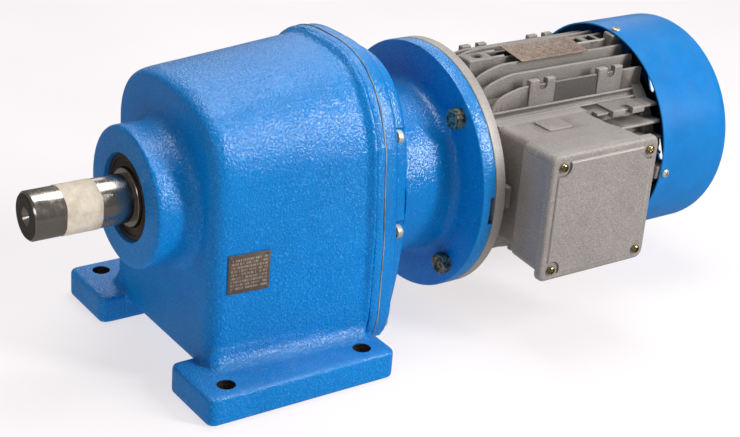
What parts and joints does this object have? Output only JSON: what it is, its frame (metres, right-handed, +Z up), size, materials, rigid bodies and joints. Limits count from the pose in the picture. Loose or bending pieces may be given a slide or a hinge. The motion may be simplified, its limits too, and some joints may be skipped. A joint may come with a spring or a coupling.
{
  "type": "inline gear reducer",
  "caption": "Foot-mounted inline helical gear reducer in blue enamel with a flange-mounted, fan-cooled aluminium-frame motor.",
  "frame": {"origin": "on the base plane, midway between the four foot bolts and directly under the output shaft", "axes": "+Z up, +X from the output shaft towards the motor along both shaft axes, -Y to the side that carries the terminal box"},
  "size_m": [0.7504, 0.3227, 0.291],
  "materials": {
    "blue_enamel": "gloss hammered enamel on cast iron and sheet steel",
    "cast_aluminium": "as cast, dull grey lacquer",
    "ground_steel": "ground and oiled",
    "dark_steel": "black oxide",
    "bearing_steel": "polished rings",
    "grey_iron": "as cast",
    "lamination": "stacked sheet",
    "winding": "varnished copper wire",
    "seal_rubber": "oily nitrile",
    "sealant": "cured jointing compound",
    "zinc_plate": "white zinc",
    "yellow_zinc": "yellow passivated",
    "brass_screw": "cross recess",
    "rating_plate": "printed plate, blank of lettering",
    "board": "moulded",
    "black_plastic": "moulded"
  },
  "bodies": {
    "root": {"gear_case": "blue_enamel", "case_sealant": "sealant", "oil_plug": "dark_steel", "case_nameplate": "rating_plate", "rear_cover": "blue_enamel", "cover_screw_1": "zinc_plate", "cover_screw_2": "zinc_plate", "cover_screw_3": "zinc_plate", "cover_screw_4": "zinc_plate", "cover_screw_5": "zinc_plate", "cover_screw_6": "zinc_plate", "flange_bolt_1": "yellow_zinc", "flange_bolt_2": "yellow_zinc", "flange_bolt_3": "yellow_zinc", "flange_bolt_4": "yellow_zinc", "output_oil_seal": "seal_rubber", "bearing_bridge": "grey_iron", "input_oil_seal": "seal_rubber", "motor_flange_shield": "cast_aluminium", "motor_frame": "cast_aluminium", "motor_nameplate": "rating_plate", "stator_core": "lamination", "stator_winding": "winding", "fan_end_shield": "cast_aluminium", "fan_cowl": "blue_enamel", "cowl_screw_1": "zinc_plate", "cowl_screw_2": "zinc_plate", "cowl_screw_3": "zinc_plate", "cowl_screw_4": "zinc_plate", "terminal_box": "cast_aluminium", "terminal_box_cover": "cast_aluminium", "box_screw_1": "brass_screw", "box_screw_2": "brass_screw", "box_screw_3": "brass_screw", "box_screw_4": "brass_screw", "terminal_board": "board", "cable_entry_plug": "black_plastic", "output_front_bearing_outer_ring": "bearing_steel", "output_rear_bearing_outer_ring": "bearing_steel", "layshaft_front_bearing_outer_ring": "bearing_steel", "layshaft_rear_bearing_outer_ring": "bearing_steel", "input_bearing_outer_ring": "bearing_steel", "motor_drive_bearing_outer_ring": "bearing_steel", "motor_fan_bearing_outer_ring": "bearing_steel"},
    "output_shaft_body": {"output_shaft": "ground_steel", "output_key": "dark_steel", "output_gear": "ground_steel", "output_front_bearing_inner_ring": "bearing_steel", "output_rear_bearing_inner_ring": "bearing_steel"},
    "layshaft_body": {"layshaft": "ground_steel", "layshaft_gear": "ground_steel", "layshaft_front_bearing_inner_ring": "bearing_steel", "layshaft_rear_bearing_inner_ring": "bearing_steel"},
    "input_body": {"input_shaft": "ground_steel", "motor_shaft": "ground_steel", "rotor_core": "lamination", "cooling_fan": "black_plastic", "input_bearing_inner_ring": "bearing_steel", "motor_drive_bearing_inner_ring": "bearing_steel", "motor_fan_bearing_inner_ring": "bearing_steel"}
  },
  "joints": [
    {"name": "output_shaft_turn", "type": "hinge", "parent": "root", "child": "output_shaft_body", "pos_m": [0, 0, 0.165], "axis": [1, 0, 0], "continuous": true},
    {"name": "layshaft_turn", "type": "hinge", "parent": "root", "child": "layshaft_body", "pos_m": [0, 0, 0.085], "axis": [1, 0, 0], "continuous": true},
    {"name": "input_turn", "type": "hinge", "parent": "root", "child": "input_body", "pos_m": [0, 0, 0.143], "axis": [1, 0, 0], "continuous": true}
  ],
  "couplings": [
    {"joint": "layshaft_turn", "follows": "output_shaft_turn", "ratio": -3.9231},
    {"joint": "input_turn", "follows": "output_shaft_turn", "ratio": 13.58}
  ]
}
